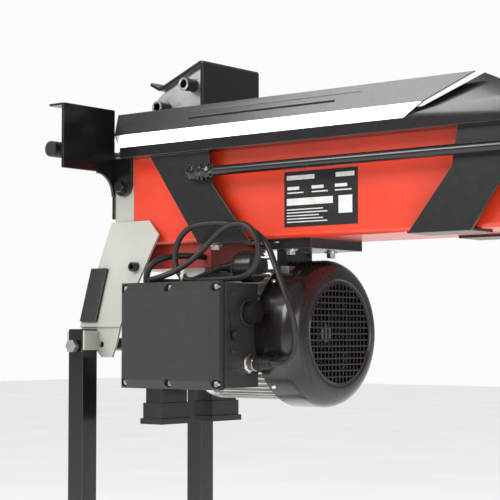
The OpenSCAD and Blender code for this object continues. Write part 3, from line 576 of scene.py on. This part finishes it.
GRIP_R, GRIP_GROOVE_R = 0.0100, 0.0093
GRIP_GROOVES, GRIP_START, GRIP_PITCH = 8, 0.006, 0.0055


def grip_profile(length):
    profile = [(0.0, 0.0), (0.0, 0.0085), (0.0008, 0.0097), (0.0025, GRIP_R)]
    for k in range(GRIP_GROOVES):
        start = GRIP_START + k * GRIP_PITCH
        profile += [(start, GRIP_R), (start + 0.0006, GRIP_GROOVE_R), (start + 0.0018, GRIP_GROOVE_R),
                    (start + 0.0024, GRIP_R)]
    return profile + [(length - 0.002, GRIP_R), (length, 0.0088), (length, 0.0)]


grip_low, grip_mid = low("lever_grip"), middle("lever_grip")
bm = bmesh.new()
lathe(bm, grip_profile(high("lever_grip").y - grip_low.y), (grip_mid.x, grip_low.y, grip_mid.z),
      "y", sides=40)
grip = piece(bm, "grip_sleeve", MATERIALS["rubber"], "lever")
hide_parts("lever_grip")

TREADS, SIDES_A_TREAD = 36, 4
TREAD_DEPTH = 0.0032
BEAD_R = 0.062


def tread_groove(k, w):
    """How deep the tread is cut at side k and share w of the width: a middle groove and notches."""
    notch = k % SIDES_A_TREAD == 0 and (w > 0.6 or w < 0.4)
    return TREAD_DEPTH if notch or 0.43 < w < 0.57 else 0.0


def build_tyre(node, body, name):
    lo, hi = low(node), high(node)
    radius, width, centre = (hi.z - lo.z) / 2, hi.y - lo.y, (lo + hi) / 2
    # (radius, share of the width) round the section
    section = [(BEAD_R, 0.02), (BEAD_R, 0.5), (BEAD_R, 0.98), (0.068, 0.99), (0.078, 1.0),
               (0.084, 0.97), (0.088, 0.90), (radius, 0.80), (radius, 0.62), (radius, 0.56),
               (radius, 0.44), (radius, 0.38), (radius, 0.20), (0.088, 0.10), (0.084, 0.03),
               (0.078, 0.0), (0.068, 0.01)]
    sides = TREADS * SIDES_A_TREAD
    made = bmesh.new()
    rings = []
    for k in range(sides):
        a = 2 * math.pi * k / sides
        ring = []
        for r, w in section:
            cut = tread_groove(k, w) if r >= radius - TINY else 0.0
            ring.append(made.verts.new((centre.x + (r - cut) * math.cos(a), lo.y + w * width,
                                        centre.z + (r - cut) * math.sin(a))))
        rings.append(ring)
    for a, b in zip(rings, rings[1:] + rings[:1]):
        for i in range(len(section)):
            j = (i + 1) % len(section)
            made.faces.new([a[i], a[j], b[j], b[i]])
    tyre = piece(made, name, MATERIALS["tyre"], body)
    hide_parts(node)


build_tyre("tyre_near", "wheel_near", "tread_near")
build_tyre("tyre_far", "wheel_far", "tread_far")

# ---- fasteners ----

WASHER_THICK = 0.0015
HEX_CHAMFER, HEX_TOP = 0.82, 0.86    # shares of the height and of the radius
SOCKET_CHAMFER = 0.0008
SOCKET_TOP, SOCKET_BOTTOM, SOCKET_FLOOR = 0.58, 0.55, 0.35    # shares of radius, radius and height
# hexagon heads: width across flats, height, washer radius
TAB_HEAD = (0.013, 0.008, 0.011)
BEAM_HEAD = (0.010, 0.005, 0.008)
HANGER_HEAD = (0.010, 0.006, 0.008)
BLOCK_HEAD = (0.010, 0.005, 0.009)


def hex_head(bm, place, axis, flip, across, thick, washer):
    r, base = across / math.sqrt(3), WASHER_THICK
    lathe(bm, [(0, 0.0), (0, washer), (base, washer), (base, 0.0)], place, axis, sides=32, flip=flip)
    lathe(bm, [(base, 0.0), (base, r), (base + thick * HEX_CHAMFER, r),
               (base + thick, r * HEX_TOP), (base + thick, 0.0)], place, axis, sides=6, flip=flip)


def socket_head(bm, place, axis, flip, r, thick):
    lathe(bm, [(0, 0.0), (0, r), (thick - SOCKET_CHAMFER, r), (thick, r - SOCKET_CHAMFER),
               (thick, r * SOCKET_TOP), (thick * SOCKET_FLOOR, r * SOCKET_BOTTOM),
               (thick * SOCKET_FLOOR, 0.0)], place, axis, sides=28, flip=flip)


TAB_THICK = 0.004
TAB_BOLT_X, TAB_BOLT_DOWN = 0.022, 0.040
bm = bmesh.new()
for side in (-1, 1):
    hex_head(bm, Vector((LEG_X + TAB_BOLT_X, side * (BEAM_HIGH.y + TAB_THICK),
                         BEAM_HIGH.z - TAB_BOLT_DOWN)), "y", side < 0, *TAB_HEAD)
piece(bm, "tab_bolts", MATERIALS["black_paint"], "frame", bevel=0.0003)

BRACKET_SHEET, HANGER_PLATE = 0.003, 0.012    # the sheets that the heads under the beam sit on
# the second pair, at 0.260, lies hidden inside the hanger's plate, which is thicker than the bracket
BEAM_BOLTS_X, BEAM_BOLTS_Y = (0.160, 0.260), 0.045
HANGER_BOLTS_X, HANGER_BOLTS_Y = 0.272, 0.040
BLOCK_BOLT_Y, BLOCK_BOLT_DOWN = -0.045, 0.060
bm = bmesh.new()
for side in (-1, 1):
    for x in BEAM_BOLTS_X:
        hex_head(bm, Vector((LEG_X + x, side * BEAM_BOLTS_Y, BEAM_LOW.z - BRACKET_SHEET)),
                 "z", True, *BEAM_HEAD)
for side in (-1, 1):
    hex_head(bm, Vector((LEG_X + HANGER_BOLTS_X, side * HANGER_BOLTS_Y, BEAM_LOW.z - HANGER_PLATE)),
             "z", True, *HANGER_HEAD)
hex_head(bm, Vector((low("head_block").x, BLOCK_BOLT_Y, BEAM_HIGH.z - BLOCK_BOLT_DOWN)),
         "x", True, *BLOCK_HEAD)
piece(bm, "frame_fasteners", MATERIALS["zinc"], "frame", bevel=0.0003)

# ---- dark tab with a round foot, on both sides of the head block ----

TAB_INSET, TAB_GAP, TAB_STEPS = 0.0005, 0.0001, 12
tab_top, tab_low = BEAM_HIGH.z - 0.003, BEAM_HIGH.z - 0.052
tab_x0, tab_x1 = low("head_block").x + TAB_INSET, high("head_block").x - TAB_INSET
tab_r = (tab_x1 - tab_x0) / 2
outline = [(tab_x0, tab_top), (tab_x1, tab_top)]
for k in range(TAB_STEPS + 1):
    a = math.pi * k / TAB_STEPS
    outline.append((tab_x0 + tab_r + tab_r * math.cos(a), tab_low + tab_r - tab_r * math.sin(a)))
bm = bmesh.new()
for side in (-1, 1):
    face = side * (BEAM_HIGH.y + TAB_GAP)
    sheet_of(bm, outline, TAB_THICK, lambda a, b, d, s=side, f=face: (a, f + s * d, b))
piece(bm, "head_tabs", MATERIALS["black_paint"], "frame", bevel=0.0006, smooth=False)

# ---- blank rating plate: dark, with plain bars and no lettering ----

PLATE_X, PLATE_Z = 0.278, BEAM_LOW.z + 0.0125
PLATE_W, PLATE_H, PLATE_THICK = 0.104, 0.0645, 0.0007
BAR_FRONT, BAR_BACK = 0.0010, 0.0006
# left, bottom, width and height of each bar on the plate
BARS = [(0.004, 0.0545, 0.040, 0.0052), (0.074, 0.0545, 0.026, 0.0052)]
for x in (0.005, 0.040, 0.073):
    BARS += [(x, 0.0430, 0.017, 0.0036), (x, 0.0388, 0.023, 0.0014)]
BARS.append((0.004, 0.0250, 0.066, 0.0080))
BARS += [(0.004, 0.0050 + row * 0.0036, 0.058 - 0.006 * (row % 3), 0.0012) for row in range(5)]
BARS.append((0.078, 0.0130, 0.019, 0.0200))

face = BEAM_LOW.y
plate_x = LEG_X + PLATE_X
bm = bmesh.new()
block(bm, (plate_x, face - PLATE_THICK, PLATE_Z), (plate_x + PLATE_W, face, PLATE_Z + PLATE_H))
piece(bm, "rating_plate", PLATE_DARK, "frame", bevel=0.0002, smooth=False)
bm = bmesh.new()
for x, z, wide, tall in BARS:
    block(bm, (plate_x + x, face - BAR_FRONT, PLATE_Z + z),
          (plate_x + x + wide, face - BAR_BACK, PLATE_Z + z + tall))
piece(bm, "rating_bars", PLATE_PALE, "frame", smooth=False)

# ---- lumpy weld sleeves at both ends of each tray rod ----

rod_lo, rod_hi = low("tray_rods"), high("tray_rods")
ROD_R = 0.006
WELD_LEN, WELD_STEPS, WELD_SIDES = 0.044, 22, 20
WELD_R, WELD_LEAST_R, WELD_PAST, WELD_OUT = 0.0085, 0.0035, 0.006, 0.001
WELD_TALL = 1.15
LUMP, GRIT = 0.0011, 0.0007


def weld_ring(bm, u, end_x, way, rod_y, side):
    """One ring of a weld sleeve, at share u of its length. It draws a random number for each corner."""
    body_r = WELD_R * math.sin(math.pi * min(1.0, 0.12 + u * 0.86)) ** 0.4
    ring = []
    for k in range(WELD_SIDES):
        a = 2 * math.pi * k / WELD_SIDES
        lump = LUMP * math.sin(7 * a + 9 * u) * math.sin(31 * u) + random.uniform(0, GRIT)
        r = max(WELD_LEAST_R, body_r + lump)
        ring.append(bm.verts.new((end_x + way * (u * WELD_LEN - WELD_PAST),
                                  rod_y + side * WELD_OUT + r * math.cos(a),
                                  rod_hi.z - ROD_R + r * WELD_TALL * math.sin(a))))
    return ring


bm = bmesh.new()
for side in (-1, 1):
    rod_y = side * (rod_hi.y - ROD_R)
    for end_x, way in ((rod_lo.x, 1), (rod_hi.x, -1)):
        rings = [weld_ring(bm, i / WELD_STEPS, end_x, way, rod_y, side)
                 for i in range(WELD_STEPS + 1)]
        for p, q in zip(rings, rings[1:]):
            for k in range(WELD_SIDES):
                n = (k + 1) % WELD_SIDES
                bm.faces.new((p[k], p[n], q[n], q[k]))
        bm.faces.new(rings[0])
        bm.faces.new(list(reversed(rings[-1])))
piece(bm, "rod_welds", MATERIALS["black_paint"], "frame")

# ---- bright rims on the pusher's bolts, and a socket bolt in each leg bracket ----

bolts_lo, bolts_hi = low("pusher_bolts"), high("pusher_bolts")
RIM_OUT, RIM_IN, RIM_T = 0.0080, 0.0052, 0.0006
RIM_PROFILE = [(0, RIM_IN), (0, RIM_OUT), (RIM_T, RIM_OUT - 0.0008), (RIM_T, RIM_IN + 0.0006)]
bm = bmesh.new()
for y, flip in ((bolts_lo.y, True), (bolts_hi.y, False)):
    for x, z in ((bolts_lo.x, bolts_lo.z), (bolts_hi.x, bolts_hi.z)):
        inward_x = RIM_OUT if x == bolts_lo.x else -RIM_OUT
        inward_z = RIM_OUT if z == bolts_lo.z else -RIM_OUT
        lathe(bm, RIM_PROFILE, (x + inward_x, y, z + inward_z), "y", sides=32, closed=True, flip=flip)
piece(bm, "bolt_rims", MATERIALS["zinc"], "ram")

BRACKET_BOLT_X, BRACKET_BOLT_Y, BRACKET_BOLT_UP = 0.060, 0.0775, 0.083
bm = bmesh.new()
for side in (-1, 1):
    place = Vector((LEG_X + BRACKET_BOLT_X, side * BRACKET_BOLT_Y, MOTOR_Z + BRACKET_BOLT_UP))
    socket_head(bm, place, "y", side < 0, r=0.0060, thick=0.0115)
piece(bm, "bracket_bolts", MATERIALS["black_paint"], "frame", bevel=0.0003)

# ---- small details on motor and box ----

LUG_SIZE = Vector((0.012, 0.016, 0.024))
LUG_SCREW = Vector((0.006, 0.0, 0.010))
lug = Vector((BOX_HIGH.x + 0.004, -0.050, MOTOR_Z + 0.055))
bm = bmesh.new()
block(bm, lug, lug + LUG_SIZE)
socket_head(bm, lug + LUG_SCREW, "y", True, r=0.004, thick=0.004)
piece(bm, "housing_lug", MATERIALS["aluminium"], "frame", bevel=0.0008)

SCREWS, SCREW_R, SCREW_X = 4, 0.0030, 0.008
screw_ring = COVER_R - 0.0004
bm = bmesh.new()
for k in range(SCREWS):
    a = math.pi / 4 + math.pi / 2 * k
    place = Vector((COVER_LOW.x + SCREW_X, screw_ring * math.cos(a), MOTOR_Z + screw_ring * math.sin(a)))
    bmesh.ops.create_uvsphere(bm, u_segments=16, v_segments=10, radius=SCREW_R,
                              matrix=Matrix.Translation(place))
piece(bm, "cover_screws", MATERIALS["zinc"], "frame")

RIB_TALL, RIB_SUNK, RIB_PROUD = 0.003, 0.0005, 0.0012
RIB_Y0, RIB_Y1 = BOX_LOW.y + 0.004, BOX_LOW.y + 0.016
bm = bmesh.new()
for z in (BOX_LOW.z + 0.020, BOX_LOW.z + 0.040, BOX_HIGH.z - 0.014):
    block(bm, (BOX_HIGH.x - RIB_SUNK, RIB_Y0, z), (BOX_HIGH.x + RIB_PROUD, RIB_Y1, z + RIB_TALL))
piece(bm, "box_ribs", MATERIALS["box_plastic"], "frame", bevel=0.0004)

# ---- stage: pale floor, soft studio light ----

FLOOR_HALF, FLOOR_THICK = 14, 0.02
FLOOR_SCALE = 2
bm = bmesh.new()
block(bm, (-FLOOR_HALF, -FLOOR_HALF, -FLOOR_THICK), (FLOOR_HALF, FLOOR_HALF, 0))
mesh = bpy.data.meshes.new("floor")
bm.to_mesh(mesh)
bm.free()
floor = add_object("floor", mesh)
floor_mat, floor_shader = new_material("floor", (0.90, 0.90, 0.90), 0.75)
vary_color(floor_mat, floor_shader, noise_of(floor_mat, FLOOR_SCALE, 3), (0.88, 0.88, 0.88),
           (0.92, 0.92, 0.92))
mesh.materials.append(floor_mat)

world = bpy.data.worlds.new("studio")
world.use_nodes = True
bpy.context.scene.world = world
ROOM_LIGHT, REFLECTED_ROOM = 0.97, 0.30    # reflections see a dimmer room, which deepens the blacks
backdrop = world.node_tree.nodes["Background"]
backdrop.inputs["Color"].default_value = (1, 1, 1, 1)
ray = world.node_tree.nodes.new("ShaderNodeLightPath")
level = world.node_tree.nodes.new("ShaderNodeMapRange")
level.inputs["To Min"].default_value = ROOM_LIGHT
level.inputs["To Max"].default_value = REFLECTED_ROOM
world.node_tree.links.new(ray.outputs["Is Glossy Ray"], level.inputs["Value"])
world.node_tree.links.new(level.outputs["Result"], backdrop.inputs["Strength"])


def softbox(name, place, target, size, watts):
    """An area light at place, facing target."""
    data = bpy.data.lights.new(name, "AREA")
    data.shape = "RECTANGLE"
    data.size, data.size_y = size
    data.energy = watts
    lamp = add_object(name, data)
    lamp.location = place
    lamp.rotation_euler = (Vector(target) - Vector(place)).to_track_quat("-Z", "Y").to_euler()
    return lamp


KEY_WATTS, FILL_WATTS, TOP_WATTS, STRIP_WATTS = 50, 18, 34, 80
softbox("key", (-1.2, -2.2, 2.2), (0, 0, 0.65), (1.6, 1.2), KEY_WATTS)
softbox("fill", (2.2, -1.2, 0.9), (0, 0, 0.60), (1.0, 1.4), FILL_WATTS)
softbox("top", (0.0, 0.6, 2.6), (0, 0, 0.80), (2.0, 0.8), TOP_WATTS)
# the strip is seen only in reflections, and only by the log tray
low_strip = softbox("low_strip", (-0.85, -0.47, 0.10), (-0.85, -0.47, 1.0), (1.1, 0.34), STRIP_WATTS)
low_strip.visible_diffuse = False
low_strip.visible_camera = False
tray_light = bpy.data.collections.new("tray_light")
tray_light.objects.link(NODES["log_trays"])
low_strip.light_linking.receiver_collection = tray_light
bpy.context.scene.view_settings.view_transform = "Standard"
